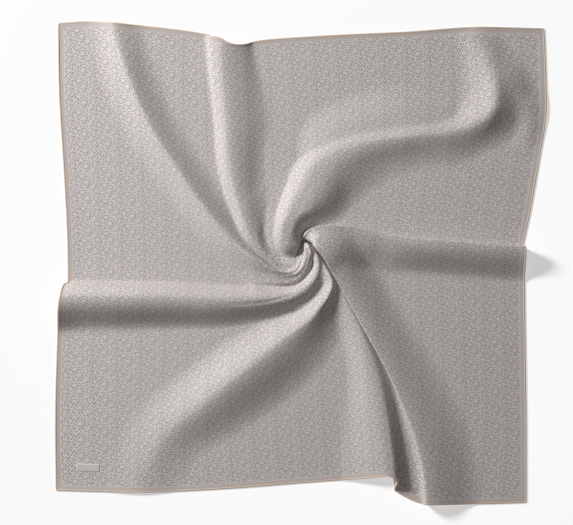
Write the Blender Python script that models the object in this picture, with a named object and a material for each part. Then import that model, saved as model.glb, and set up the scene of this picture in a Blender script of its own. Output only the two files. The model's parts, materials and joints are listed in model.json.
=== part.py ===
"""Silk square scarf laid flat, its centre twisted into a swirl of soft folds."""
import math

import bpy
import numpy as np

# ---- shape of the laid cloth: everything in millimetres, +X right, +Y away, +Z up ----
WALL = 1.2             # cloth thickness
HEM_D = 2.8            # rolled hem, across
SEAM = 0.45            # air between the cloth's edge and the rolled hem
EYE_X, EYE_Y = 5.7, 38.9   # plan point that the folds wind round
FOOT = 6.0             # height of the gathered cloth at the eye

# distance from the eye at which every row below is stated
AT = (4, 14, 30, 55, 85, 125, 180, 250, 330, 430, 560)

# bearing of each fold's crest at those distances, degrees anticlockwise from +X
# (rows named corner_* only carry the cloth's corners and have no rise)
BEARING = {
    "east":        (92, 66, 42, 24, 13, 4, -1, -2.2, -3.1, -3.3, -3.3),
    "north_east":  (200, 180, 140, 94, 81, 75, 62, 46, 35.6, 33, 20),
    "corner_tr":   (219, 214, 203, 176, 124, 103, 86, 68, 55, 47, 41.4),
    "north":       (248, 252, 252, 240, 182, 152, 135, 122, 115.25, 109.5, 104),
    "north_west":  (262, 262, 262, 253, 206, 180, 162.5, 151, 143.75, 136.25, 128),
    "corner_tl":   (276, 274, 270, 260, 221, 194, 179, 166.25, 157.25, 148.25, 138.5),
    "tongue":      (294, 292, 282, 268, 238, 210, 198, 192.5, 188.5, 186, 186),
    "west":        (322, 318, 314, 297, 271, 234, 215, 203.5, 197.5, 193.5, 192.3),
    "corner_bl":   (329, 324, 316.5, 302, 288, 258, 238, 223.75, 219.25, 217, 225.2),
    "south_west":  (336, 330, 319, 309, 305, 281, 258, 245.8, 239, 234.8, 237),
    "south":       (346, 338, 322, 312.5, 308, 304, 301, 296.6, 290.5, 285.6, 284.2),
    "south_east":  (358, 352, 333, 322, 314.6, 309.8, 306.8, 304.7, 302.4, 299.2, 293.2),
    "corner_br":   (405, 387, 364, 350, 342, 336, 330, 324.5, 320.25, 315.5, 310.3),
}

# height of each crest above the panels at the same distances
RISE = {
    "east":       (4, 17, 26, 28, 27, 28, 31, 33, 32, 29, 27),
    "north_east": (3, 14, 20, 22, 22, 21, 20, 21, 17, 4, 0),
    "north":      (0, 0, 1, 5, 10, 14, 15.5, 15.5, 15.5, 15.5, 15),
    "north_west": (0, 1, 4, 8, 17, 19, 18, 17, 16.5, 15.75, 4),
    "tongue":     (5, 12, 12, 8, 3, 0, 0, 0, 0, 0, 0),
    "west":       (4, 12, 14, 15, 18, 23, 27, 30, 33, 33, 31),
    "south_west": (0, 2, 6, 11, 18, 22, 24, 26, 21, 10, 2),
    "south":      (0, 0, 1, 4, 8, 11, 11, 13, 17, 20, 20),
    "south_east": (4, 24, 30, 28, 23, 22, 22, 22, 22, 22, 22),
}

# width of each side of a fold, crest to foot, at four distances from the eye; round is how
# blunt the crest is on that side (1 = even wave, over 1 = flat top and steep foot)
NEAR, MID, OUT, FAR = 45, 120, 240, 410
SIDES = {
    #              clockwise side, foot to crest         anticlockwise side
    #              near mid out hem  round_in round_out  near mid out hem  round_in round_out
    "east":       (90,  64, 56, 52,  0.85, 1.2,         5,   8,  10, 12,  1.2,  1.2),
    "north_east": (70,  86, 60, 62,  1.2,  0.8,          54,  54, 38, 46,  2.4,  0.85),
    "north":      (22,  50, 74, 48,  1.1, 0.9,           22,  25, 29, 24,  1.0,  1.0),
    "north_west": (22,  42, 50, 57,  0.85, 0.75,         30,  52, 54, 58,  0.8,  0.66),
    "tongue":     (14,  16, 16, 16,  1.9,  1.3,          12,  14, 14, 14,  1.9,  1.2),
    "west":       (14,  26, 31, 31,  1.3,  1.1,          22,  44, 62, 66,  1.0, 1.05),
    "south_west": (22,  36, 68, 78,  0.9,  0.85,         34,  104, 112, 78,  0.85,  0.8),
    "south":      (20,  30, 44, 56,  0.9,  0.9,          30,  30, 52, 46,  1.5,  1.4),
    "south_east": (6,   6,  6,  7,   1.1,  1.2,          92, 74, 76, 98,  1.2,  0.85),
}

# soft ridges that no fold carries: their crests, point by point
SPURS = [
    # (x, y, height, half width on its left, on its right)
    ((236, 223, 8, 40, 44), (280, 229, 14, 46, 52), (318, 249, 18, 60, 60), (344, 276, 20, 66, 66),
     (346, 306, 18, 64, 66), (331, 346, 12, 56, 54), (312, 390, 7, 44, 46)),
]                                      # the end of the far right fold, turned back to the far hem

# how far a crest leans anticlockwise, and how far its sides swell past their feet
LEAN = {
    #              lean: near mid out hem   clockwise swell   anticlockwise swell
    "east":       (3, 5, 8, 10,             0, 0, 0, 0,       0, 0, 0, 0),
    "north":      (0, 0, 0, 0,              0, 0, 4, 11,      0, 0, 3, 13),
    "west":       (0, 0, 0, 0,              0, 0, 1, 4,       0, 0, 0, 0),
    "south":      (0, 0, 3, 31,             0, 0, 0, 0,       0, 0, 0, 6),
    "south_east": (-1, -3, -4, -3,          0, 0, 0, 5,       0, 0, 0, 0),
}

# sewn-on tape: middle, size (long, short, thick) and turn
LABEL_AT, LABEL_SIZE, LABEL_TURN, LABEL_GAP = (-372.0, -358.2), (39.0, 12.5, 0.7), -1.5, 0.4

# outer edge of the finished scarf, in order from the east fold round; sharp marks a corner
OUTLINE = [
    # stretch         x       y     sharp
    ("right_upper", 389.0,  29.5, 1), ("right_upper", 402.5, 92.0, 0), ("right_upper", 419.5, 190.0, 0),
    ("right_upper", 427.8, 240.0, 0), ("right_upper", 430.5, 290.0, 0), ("right_upper", 426.6, 410.6, 1),
    ("top_right", 300.0, 412.8, 0), ("top_right", 190.0, 405.0, 0), ("top_right", 60.0, 399.0, 0),
    ("top_right", -60.0, 391.0, 0), ("top_right", -117.0, 381.5, 0),
    ("top_fold", -139.0, 393.0, 0), ("top_fold", -148.0, 397.0, 0),
    ("top_left", -205.0, 407.0, 0), ("top_left", -290.0, 416.5, 0), ("top_left", -368.0, 422.8, 0),
    ("top_left", -425.8, 420.0, 1),
    ("left_upper", -424.0, 300.0, 0), ("left_upper", -416.0, 170.0, 0), ("left_upper", -410.0, 60.0, 0),
    ("left_upper", -408.5, -30.0, 0), ("left_fold", -414.5, -40.0, 0), ("left_fold", -423.0, -75.0, 0),
    ("left_lower", -427.0, -140.0, 0), ("left_lower", -430.5, -270.0, 0), ("left_lower", -429.2, -399.0, 1),
    ("bottom_left", -335.0, -401.5, 0), ("bottom_left", -240.0, -401.6, 0), ("bottom_left", -110.0, -394.5, 0),
    ("bottom_left", 18.0, -384.5, 0), ("bottom_left", 95.0, -379.0, 0), ("south_fold", 118.0, -376.5, 0),
    ("south_fold", 127.0, -379.5, 0), ("bottom_right", 152.0, -394.0, 0), ("bottom_right", 186.0, -412.0, 0),
    ("bottom_right", 214.0, -421.5, 0), ("bottom_right", 305.0, -422.7, 0), ("bottom_right", 395.2, -420.5, 1),
    ("right_lower", 395.0, -275.0, 0), ("right_lower", 393.5, -150.0, 0), ("right_lower", 392.2, -40.0, 0),
    ("right_lower", 392.0, 10.0, 0),
]


FOLDS = list(BEARING)


def slopes(x, y):
    """Slopes for a smooth curve that never overshoots its table."""
    rise = np.diff(y) / np.diff(x)
    before, after = rise[:-1], rise[1:]
    with np.errstate(divide="ignore", invalid="ignore"):
        inner = np.where(before * after > 0, 2 * before * after / (before + after), 0.0)
    return np.concatenate([rise[:1], inner, rise[-1:]])


def curve(x, y, at):
    """Smooth curve through the table y(x), read at the distances at."""
    x, y = np.asarray(x, float), np.asarray(y, float)
    at = np.clip(np.asarray(at, float), x[0], x[-1])
    m = slopes(x, y)
    i = np.clip(np.searchsorted(x, at, side="right") - 1, 0, len(x) - 2)
    step = x[i + 1] - x[i]
    t = (at - x[i]) / step
    return (y[i] * (2 * t**3 - 3 * t**2 + 1) + m[i] * step * (t**3 - 2 * t**2 + t)
            + y[i + 1] * (3 * t**2 - 2 * t**3) + m[i + 1] * step * (t**3 - t**2))


def bearing(r):
    """Bearing of every row's crest at distance r, in radians: (rows, len r)."""
    return np.radians([curve(AT, BEARING[k], r) for k in FOLDS])


def sized(table, first, r):
    """Four sizes of a table's rows, near to hem, read at distance r: (rows, len r)."""
    return np.array([curve((NEAR, MID, OUT, FAR), table[k][first:first + 4], r) if k in table
                     else np.zeros_like(r) for k in FOLDS])


def flank(u, blunt):
    """Side of a fold: 1 at its crest, 0 from its foot on."""
    return 0.5 * (1 + np.cos(np.pi * np.clip(u, 0, 1) ** blunt))


HEM_STEPS, LEAST_MITRE = 12, 0.3   # points between two outline knots; sharpest corner that is mitred


def hem_line(inset):
    """The scarf's outer edge as a closed dense curve, drawn in by inset."""
    knots = np.array([(x, y) for _, x, y, _ in OUTLINE])
    sharp = [row[-1] for row in OUTLINE]
    n = len(knots)
    runs = []
    for i in range(n):
        a, b, c, d = knots[i - 1], knots[i], knots[(i + 1) % n], knots[(i + 2) % n]
        if sharp[i]:
            a = 2 * b - c
        if sharp[(i + 1) % n]:
            d = 2 * c - b
        t = np.linspace(0, 1, HEM_STEPS, endpoint=False)[:, None]
        runs.append(0.5 * (2 * b + (c - a) * t + (2 * a - 5 * b + 4 * c - d) * t**2
                           + (3 * b - a - 3 * c + d) * t**3))
    line = np.vstack(runs)
    normals = []
    for edge in (line - np.roll(line, 1, 0), np.roll(line, -1, 0) - line):
        edge = edge / np.linalg.norm(edge, axis=1)[:, None]
        normals.append(np.stack([-edge[:, 1], edge[:, 0]], 1))
    mitre = normals[0] + normals[1]
    mitre /= np.maximum((mitre * normals[0]).sum(1), LEAST_MITRE)[:, None]
    return line + mitre * inset


TINY = 1e-9


class Hem:
    """The hem line seen from the eye."""

    def __init__(self, inset):
        line = hem_line(inset) - (EYE_X, EYE_Y)
        turn = np.unwrap(np.arctan2(line[:, 1], line[:, 0]))
        self.line = np.vstack([line, line[:1]])
        self.turn = np.append(turn, turn[0] + 2 * np.pi)

    def reach(self, a):
        """Distance from the eye to the hem line along bearing a."""
        a = (a - self.turn[0]) % (2 * np.pi) + self.turn[0]
        i = np.clip(np.searchsorted(self.turn, a, side="right") - 1, 0, len(self.turn) - 2)
        p, edge = self.line[i], self.line[i + 1] - self.line[i]
        across = np.cos(a) * edge[..., 1] - np.sin(a) * edge[..., 0]
        across = np.where(abs(across) < TINY, TINY, across)
        return (p[..., 0] * edge[..., 1] - p[..., 1] * edge[..., 0]) / across


RIDGE_STEPS = 25                   # points along a ridge's crest
RIDGE_ROUND = 0.80                 # bluntness of its flanks
BLEND = 4                          # how sharply a spur takes over from what lies lower


def ridge(x, y, crest, blunt=RIDGE_ROUND):
    """Height at x, y of a soft ridge: its crest is points (x, y, height, half width left, right)."""
    crest = np.array(crest, float)
    knots, fine = np.linspace(0, 1, len(crest)), np.linspace(0, 1, RIDGE_STEPS)
    px, py, height, left, right = (curve(knots, column, fine) for column in crest.T)
    best = np.zeros(x.shape)
    for i in range(RIDGE_STEPS - 1):
        ex, ey = px[i + 1] - px[i], py[i + 1] - py[i]
        t = np.clip(((x - px[i]) * ex + (y - py[i]) * ey) / (ex * ex + ey * ey), 0, 1)
        bx, by = x - px[i] - t * ex, y - py[i] - t * ey
        away = np.hypot(bx, by)
        side = (ex * by - ey * bx) / (np.hypot(ex, ey) * np.maximum(away, TINY))   # 1 left, -1 right
        wide_left = left[i] + (left[i + 1] - left[i]) * t
        wide_right = right[i] + (right[i + 1] - right[i]) * t
        half = 0.5 * (wide_left + wide_right + (wide_left - wide_right) * side)
        tall = height[i] + (height[i + 1] - height[i]) * t
        rise = tall * flank(away / half, blunt)
        best = np.where(np.abs(rise) > np.abs(best), rise, best)
    return best


GATHER = 150.0                     # the cloth stands up off the floor within this of the eye,
DIP_FROM, DIP_WIDE = 12.0, 40.0    # and sinks a little right at it
MOST_SLANT = 1.5                   # a crest's slant to the ring counts no more than this
CALM_FROM, CALM_TO = 10.0, 26.0    # no overhang nearer the eye than this
LEAN_ROUND = 1.7                   # how soon a leaning crest's anticlockwise side straightens
SLACK = 0.2                        # radians past the next crest that a side may still be read


def lift(a, r):
    """Height and sideways shift of the cloth at bearing a, distance r (same shapes)."""
    a, r = np.broadcast_arrays(np.asarray(a, float), np.asarray(r, float))
    shape = a.shape
    a, r = a.ravel(), np.maximum(r.ravel(), TINY)
    crest, crest_on = bearing(r), bearing(r + 1.0)
    raised = [FOLDS.index(k) for k in RISE]
    z = FOOT * flank(r / GATHER, 1.0) * flank((DIP_FROM - r) / DIP_WIDE, 1.0)
    dx, dy = np.zeros_like(r), np.zeros_like(r)
    calm = flank((CALM_TO - r) / (CALM_TO - CALM_FROM), 1.0)
    out = flank((OUT - r) / (OUT - NEAR), 1.0)
    w_cw, w_ccw = sized(SIDES, 0, r), sized(SIDES, 6, r)
    lean, swell_cw, swell_ccw = sized(LEAN, 0, r), sized(LEAN, 4, r), sized(LEAN, 8, r)
    for j, i in enumerate(raised):
        name = FOLDS[i]
        before, after = raised[j - 1], raised[(j + 1) % len(raised)]
        gap_cw = (crest[i] - crest[before]) % (2 * np.pi)
        gap_ccw = (crest[after] - crest[i]) % (2 * np.pi)
        turn = np.clip((crest_on[i] - crest[i]) * r, -MOST_SLANT, MOST_SLANT)
        cosine = 1.0 / np.sqrt(1 + turn**2)
        d = (a - crest[i] + np.pi) % (2 * np.pi) - np.pi
        d = np.where(d > gap_ccw + SLACK, d - 2 * np.pi, d)
        d = np.where(d < -gap_cw - SLACK, d + 2 * np.pi, d)
        ccw = d >= 0
        width = np.where(ccw, w_ccw[i], w_cw[i]) / cosine / r
        gap = np.where(ccw, gap_ccw, gap_cw)
        width = width * gap / (width**4 + gap**4) ** 0.25      # never past the next crest
        u = np.abs(d) / np.maximum(width, TINY)
        side = SIDES[name]
        blunt = np.where(ccw, side[10] + (side[11] - side[10]) * out,
                         side[4] + (side[5] - side[4]) * out)
        f = flank(u, blunt)
        z = z + curve(AT, RISE[name], r) * f
        swell = np.where(ccw, swell_ccw[i], -swell_cw[i]) * np.sin(np.pi * np.clip(u, 0, 1)) ** 2
        shift = (lean[i] * np.where(ccw, f ** LEAN_ROUND, f) + swell) * calm
        along = cosine * turn
        dx += shift * (cosine * -np.sin(crest[i]) - along * np.cos(crest[i]))
        dy += shift * (cosine * np.cos(crest[i]) - along * np.sin(crest[i]))
    for spur in SPURS:
        lifted = ridge(EYE_X + r * np.cos(a), EYE_Y + r * np.sin(a), spur)
        z = (z**BLEND + lifted**BLEND) ** (1 / BLEND)
    return z.reshape(shape), dx.reshape(shape), dy.reshape(shape)


MOST_SHARE = 0.46                  # most of the gap to the next crest that a side's columns take
CORNER_CROWD = 1.35                # how much a panel's columns crowd toward the corner it starts at
ROUND_TO = 50.0                    # rings are circles out to here, then turn into the hem line
REACH_START, REACH_ROUNDS = 430.0, 60


def layout(r, shares):
    """Bearings of all columns at distance r, and the row that each column belongs to.

    shares holds for each row: shares of its clockwise side, of its anticlockwise side, and how
    many columns cross the panel after it."""
    r = np.atleast_1d(r)
    crest = bearing(r)
    w_cw, w_ccw = sized(SIDES, 0, r), sized(SIDES, 6, r)
    columns = []
    for i, name in enumerate(FOLDS):
        j = (i + 1) % len(FOLDS)
        after = FOLDS[j]
        gap = (crest[j] - crest[i]) % (2 * np.pi)
        most = MOST_SHARE * gap
        a = w_ccw[i] / r if name in SIDES else 0 * r
        b = w_cw[j] / r if after in SIDES else 0 * r
        a = a * most / (a**4 + most**4) ** 0.25
        b = b * most / (b**4 + most**4) ** 0.25
        columns.append((name, crest[i]))
        columns += [(name, crest[i] + a * s) for s in shares[name][1]]
        low = a if shares[name][1] else 0 * r
        high = b if shares[after][0] else 0 * r
        panel = shares[name][2]
        crowd = 1.0 if name in SIDES else CORNER_CROWD
        columns += [(name, crest[i] + low + (gap - low - high) * ((c + 1) / (panel + 1)) ** crowd)
                    for c in range(panel)]
        columns += [(after, crest[j] - b * s) for s in reversed(shares[after][0])]
    return np.array([c for _, c in columns]), [name for name, _ in columns]


def columns_at(r, shares):
    """Bearing of each column, each read at its own distance r."""
    return np.diagonal(layout(r, shares)[0]).copy()


def cloth_points(shares, rings, hem):
    """Upper skin of the cloth (ring, column, xyz), and its plan before any fold leans."""
    reach = np.full(len(layout(REACH_START, shares)[1]), REACH_START)
    for _ in range(REACH_ROUNDS):
        reach = 0.5 * reach + 0.5 * hem.reach(columns_at(reach, shares))
    skin, plan = [], []
    for rho in rings:
        s = np.clip((rho - ROUND_TO) / (rings[-1] - ROUND_TO), 0, 1)
        s = s * s * (3 - 2 * s)
        r = rho * (1 + (reach / rings[-1] - 1) * s)
        a = columns_at(r, shares)
        z, dx, dy = lift(a, r)
        x, y = EYE_X + r * np.cos(a), EYE_Y + r * np.sin(a)
        plan.append(np.stack([x, y], 1))
        skin.append(np.stack([x + dx, y + dy, z + WALL], 1))
    return np.array(skin), np.array(plan)


# ---- solids ----
MM = 0.001
SHARES = {                      # (clockwise side, anticlockwise side, panel columns)
    "east": ((0.34, 0.67, 1.0), (0.5, 1.0), 3),
    "north_east": ((0.33, 0.6, 0.82, 1.0), (0.34, 0.67, 1.0), 3),
    "corner_tr": ((), (), 6),
    "north": ((0.28, 0.6, 1.0), (0.45, 1.0), 1),
    "north_west": ((0.34, 0.67, 1.0), (0.34, 0.67, 1.0), 1),
    "corner_tl": ((), (), 1),
    "tongue": ((0.5, 1.0), (0.5, 1.0), 0),
    "west": ((0.3, 0.65, 1.0), (0.28, 0.56, 1.0), 1),
    "corner_bl": ((), (), 1),
    "south_west": ((0.3, 0.62, 1.0), (0.3, 0.62, 1.0), 1),
    "south": ((0.5, 1.0), (0.35, 0.65, 0.83, 1.0), 0),
    "south_east": ((0.5, 1.0), (0.28, 0.6, 1.0), 1),
    "corner_br": ((), (), 1),
}
RINGS = (5, 8.5, 12.5, 17, 22, 28, 35, 43, 52, 62, 74, 88, 104, 122, 141, 158, 176, 196, 224, 252,
         280, 306, 330, 354, 378, 402)
CORE_IN, CORE_OUT = 62.0, 108.0    # the layers gathered at the eye share one solid core out to here
SQUARE_FROM, SQUARE_TO = 195.0, 245.0  # the wall's thickness turns from plumb to square to the cloth
LEAST_SQUARE, LEAST_PLUMB = 0.32, 0.34  # cosines past which a bend or a slope thickens the wall no more
RESTING = 0.15                     # an upper skin this near one wall's height rests on the floor
HEM_SIDES, HEM_BEND = 6, 0.6       # sides of the rolled hem; least cosine that its bends are mitred by
LABEL_CELLS = 8, 3


def unit(v):
    return v / np.maximum(np.linalg.norm(v, axis=-1, keepdims=True), TINY)


def skins(V, plan):
    """Under skin of the cloth: one wall in from the upper skin, never under the floor.

    Square to the cloth where the folds overhang; straight down nearer the eye, where they don't."""
    east = np.roll(V, -1, 1) - V
    west = V - np.roll(V, 1, 1)
    out = np.concatenate([V[1:] - V[:-1], V[-1:] - V[-2:-1]])
    inn = np.concatenate([V[1:2] - V[:1], V[1:] - V[:-1]])
    faces = [unit(np.cross(r, c)) for r in (out, inn) for c in (east, west)]
    n = unit(sum(faces))
    mitre = np.min([(n * f).sum(-1) for f in faces], axis=0)
    square = n * (WALL / np.maximum(mitre, LEAST_SQUARE))[..., None]
    steep = np.min([f[..., 2] for f in faces], axis=0)
    down = np.zeros_like(V)
    down[..., 2] = WALL / np.maximum(steep, LEAST_PLUMB)
    rho = np.hypot(plan[..., 0] - EYE_X, plan[..., 1] - EYE_Y)
    mix = flank((SQUARE_TO - rho) / (SQUARE_TO - SQUARE_FROM), 1.0)[..., None]
    under = V - down * (1 - mix) - square * mix
    under[..., 2] = np.where(V[..., 2] < WALL + RESTING, 0.0, np.maximum(under[..., 2], 0.0))
    return under


def add_mesh(name, verts, faces, material):
    me = bpy.data.meshes.new(name)
    me.from_pydata([tuple(float(c) * MM for c in v) for v in verts], [], faces)
    me.materials.append(material)
    me.update()
    ob = bpy.data.objects.new(name, me)
    bpy.context.scene.collection.objects.link(ob)
    return ob


def make_material(name, rgb, rough):
    m = bpy.data.materials.new(name)
    m.use_nodes = True
    b = m.node_tree.nodes["Principled BSDF"]
    b.inputs["Base Color"].default_value = (*rgb, 1.0)
    b.inputs["Roughness"].default_value = rough
    return m


def cloth_solid(V, U):
    nr, nc = V.shape[:2]
    eye_top = np.array([EYE_X, EYE_Y, FOOT * 0.5 + WALL])
    verts = list(V.reshape(-1, 3)) + list(U.reshape(-1, 3)) + [eye_top, np.array([EYE_X, EYE_Y, 0.0])]
    base = nr * nc
    ct, cb = 2 * base, 2 * base + 1
    faces = []
    for j in range(nc):
        k = (j + 1) % nc
        faces.append((ct, j, k))
        faces.append((cb, base + k, base + j))
        for i in range(nr - 1):
            a, b, c, d = i * nc + j, (i + 1) * nc + j, (i + 1) * nc + k, i * nc + k
            pa, pb, pc, pd = (V.reshape(-1, 3)[q] for q in (a, b, c, d))
            if np.linalg.norm(pa - pc) <= np.linalg.norm(pb - pd):
                faces += [(a, b, c), (a, c, d)]
                faces += [(base + a, base + c, base + b), (base + a, base + d, base + c)]
            else:
                faces += [(a, b, d), (b, c, d)]
                faces += [(base + a, base + d, base + b), (base + b, base + d, base + c)]
        a, d = (nr - 1) * nc + j, (nr - 1) * nc + k
        faces += [(a, base + a, d), (d, base + a, base + d)]
    return verts, faces


def hem_solid(V, U, cols):
    """A rolled hem from corner to corner, clear of the cloth's edge by the seam's air."""
    mid = 0.5 * (V[-1] + U[-1])
    inner = 0.5 * (V[-2] + U[-2])
    rad, sides = HEM_D / 2, HEM_SIDES
    path, out = [], []
    for c in cols:
        o = mid[c] - inner[c]
        o /= np.linalg.norm(o)
        path.append(mid[c])
        out.append(o)
    path, out = np.array(path), np.array(out)
    step = unit(np.diff(path, axis=0))
    tan = unit(np.concatenate([step[:1], step[1:] + step[:-1], step[-1:]]))
    out = unit(out - tan * (out * tan).sum(1)[:, None])
    up = np.cross(out, tan)
    bend = np.concatenate([[1.0], (tan[1:-1] * step[1:]).sum(1), [1.0]])
    cen = path + out * ((rad + SEAM) / np.maximum(bend, HEM_BEND))[:, None]
    cen[:, 2] = np.maximum(cen[:, 2], rad)
    verts = []
    for p, o, u in zip(cen, out, up):
        for q in range(sides):
            w = 2 * math.pi * (q + 0.5) / sides
            verts.append(p + rad * (o * math.cos(w) + u * math.sin(w)))
    n = len(cen)
    verts = np.array(verts)
    verts[:, 2] = np.maximum(verts[:, 2], 0.0)
    faces = []
    for i in range(n - 1):
        for q in range(sides):
            r = (q + 1) % sides
            a, b, c, d = i * sides + q, (i + 1) * sides + q, (i + 1) * sides + r, i * sides + r
            faces += [(a, b, c), (a, c, d)]
    faces += [tuple(range(sides)), tuple(n * sides - 1 - q for q in range(sides))]
    return verts, faces


def main():
    for ob in list(bpy.data.objects):
        bpy.data.objects.remove(ob, do_unlink=True)
    silk = make_material("silk", (0.46, 0.42, 0.41), 0.5)
    peach = make_material("hem", (0.72, 0.52, 0.38), 0.6)
    tape = make_material("label", (0.56, 0.52, 0.50), 0.6)

    hem = Hem(HEM_D + SEAM)
    V, plan = cloth_points(SHARES, RINGS, hem)
    U = skins(V, plan)
    rho = np.hypot(plan[..., 0] - EYE_X, plan[..., 1] - EYE_Y)
    core = flank((CORE_OUT - rho) / (CORE_OUT - CORE_IN), 1.0)[..., None]
    floor = np.concatenate([plan, np.zeros_like(plan[..., :1])], -1)
    U = floor * (1 - core) + U * core
    verts, faces = cloth_solid(V, U)
    add_mesh("cloth", verts, faces, silk)

    names = layout(REACH_START, SHARES)[1]
    nc = len(names)
    first = {k: names.index(k) for k in FOLDS}
    start = first["corner_tr"], first["corner_tl"], first["corner_bl"], first["corner_br"]
    for name, a, b in (("hem_top", start[0], start[1]), ("hem_left", start[1], start[2]),
                       ("hem_bottom", start[2], start[3]), ("hem_right", start[3], start[0] + nc)):
        cols = [c % nc for c in range(a, b + 1)]
        hv, hf = hem_solid(V, U, cols)
        add_mesh(name, hv, hf, peach)

    # label: a small tape on the lower left panel, parted from it by the seam's air
    cx, cy = LABEL_AT
    w, h, t = LABEL_SIZE
    tilt = math.radians(LABEL_TURN)
    nu, nv = LABEL_CELLS
    pts = []
    for layer in (0.0, t):
        for j in range(nv + 1):
            for i in range(nu + 1):
                x, y = w * (i / nu - 0.5), h * (j / nv - 0.5)
                px = cx + x * math.cos(tilt) - y * math.sin(tilt)
                py = cy + x * math.sin(tilt) + y * math.cos(tilt)
                z = lift(math.atan2(py - EYE_Y, px - EYE_X), math.hypot(px - EYE_X, py - EYE_Y))[0]
                pts.append((px, py, float(z) + WALL + LABEL_GAP + layer))
    row, top = nu + 1, (nu + 1) * (nv + 1)
    quads = []
    for j in range(nv):
        for i in range(nu):
            a = j * row + i
            quads += [(a, a + row, a + row + 1, a + 1),
                      (top + a, top + a + 1, top + a + row + 1, top + a + row)]
    rim = ([(i, i + 1) for i in range(nu)] + [(row * j + nu, row * (j + 1) + nu) for j in range(nv)]
           + [(nv * row + i + 1, nv * row + i) for i in reversed(range(nu))]
           + [(row * (j + 1), row * j) for j in reversed(range(nv))])
    quads += [(p, q, top + q, top + p) for p, q in rim]
    tris = [f for q in quads for f in ((q[0], q[1], q[2]), (q[0], q[2], q[3]))]
    add_mesh("label", pts, tris, tape)


main()
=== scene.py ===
# %% [markdown]
# # A silk square, twisted at its middle
#
# The real thing is one square of light silk twill, 90 cm a side, printed all over with small
# strokes, with its four edges rolled by hand and stitched. Someone laid it flat, pinched its
# middle and turned it, so the cloth stands up in folds that wind into an eye.
#
# This script dresses the packed solids: a fine sheet for the cloth, round rolls for the hem,
# thread, a tape label, their finishes, a pale floor, one soft lamp and a camera.

# %% The frame
import json
import math

import bmesh
import bpy
import numpy as np
from mathutils import Matrix, Vector

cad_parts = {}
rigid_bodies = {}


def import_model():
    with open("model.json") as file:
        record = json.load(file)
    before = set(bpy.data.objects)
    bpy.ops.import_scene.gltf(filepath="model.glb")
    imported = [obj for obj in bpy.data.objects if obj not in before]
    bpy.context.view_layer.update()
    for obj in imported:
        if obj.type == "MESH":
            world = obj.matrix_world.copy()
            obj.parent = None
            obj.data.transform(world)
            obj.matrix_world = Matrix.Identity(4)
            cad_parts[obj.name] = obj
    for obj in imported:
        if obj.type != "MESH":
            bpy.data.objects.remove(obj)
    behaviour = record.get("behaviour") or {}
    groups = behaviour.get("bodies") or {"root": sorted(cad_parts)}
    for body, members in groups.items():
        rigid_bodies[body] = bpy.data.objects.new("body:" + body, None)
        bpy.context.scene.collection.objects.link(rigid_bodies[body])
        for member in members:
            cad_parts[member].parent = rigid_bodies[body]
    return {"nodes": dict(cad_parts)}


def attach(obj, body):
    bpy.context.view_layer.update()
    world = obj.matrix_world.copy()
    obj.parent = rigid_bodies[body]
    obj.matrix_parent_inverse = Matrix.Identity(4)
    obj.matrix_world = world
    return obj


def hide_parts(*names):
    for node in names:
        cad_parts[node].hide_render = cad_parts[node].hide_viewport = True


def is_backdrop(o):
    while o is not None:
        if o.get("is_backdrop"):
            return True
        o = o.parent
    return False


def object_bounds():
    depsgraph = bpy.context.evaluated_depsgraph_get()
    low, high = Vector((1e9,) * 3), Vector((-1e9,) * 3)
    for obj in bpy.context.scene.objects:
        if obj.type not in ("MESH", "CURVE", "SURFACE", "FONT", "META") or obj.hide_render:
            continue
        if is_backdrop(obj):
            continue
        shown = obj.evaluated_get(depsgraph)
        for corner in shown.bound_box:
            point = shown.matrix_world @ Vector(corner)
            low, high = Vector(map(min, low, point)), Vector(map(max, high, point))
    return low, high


for old in list(bpy.data.objects):
    bpy.data.objects.remove(old, do_unlink=True)
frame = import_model()
cad_low, cad_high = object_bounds()
print("solids:", sorted(frame["nodes"]))
print("their box in mm:", [round(c * 1000) for c in cad_high - cad_low])

# %% [markdown]
# The camera looks straight down from far off through a long lens, so the square stays square. A
# short lens close by would show more of the folds' flanks and bend the hem. The lens is worked out
# from the width of floor that the view takes in.

# %% Camera
VIEW_PIXELS = 573  # width of the view
FLOOR_PER_PIXEL = 0.00175  # metres of floor in one pixel
LOOK_AT = (-0.0249, 0.0004)  # the spot of floor in the middle of the view
CAMERA_HEIGHT = 5.0
SENSOR = 36.0  # millimetres across

lens_data = bpy.data.cameras.new("camera")
lens_data.sensor_width = SENSOR
lens_data.lens = SENSOR * CAMERA_HEIGHT / (VIEW_PIXELS * FLOOR_PER_PIXEL)
camera = bpy.data.objects.new("camera", lens_data)
camera.location = (*LOOK_AT, CAMERA_HEIGHT)
bpy.context.scene.collection.objects.link(camera)
bpy.context.scene.camera = camera
print("lens:", round(lens_data.lens), "mm")

# %% [markdown]
# ## The shape of the laid cloth
# Everything here is in millimetres, with X to the right, Y away and Z up. A fold is a row: the
# bearing of its crest at eleven distances from the eye, how high the crest stands there, how wide
# each side is and how blunt. The cloth at any spot is the panel's level plus what the folds near
# it add. A simulated drape would not give these folds back, and rows as short as these are easy
# to change by hand. The solids use the same ones, with a smaller lean on the near right fold.

# %% The folds
EYE_X, EYE_Y = 5.7, 38.9  # plan point that the folds wind round
FOOT = 6.0  # height of the gathered cloth at the eye

# distance from the eye at which every row below is stated
AT = (4, 14, 30, 55, 85, 125, 180, 250, 330, 430, 560)

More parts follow.
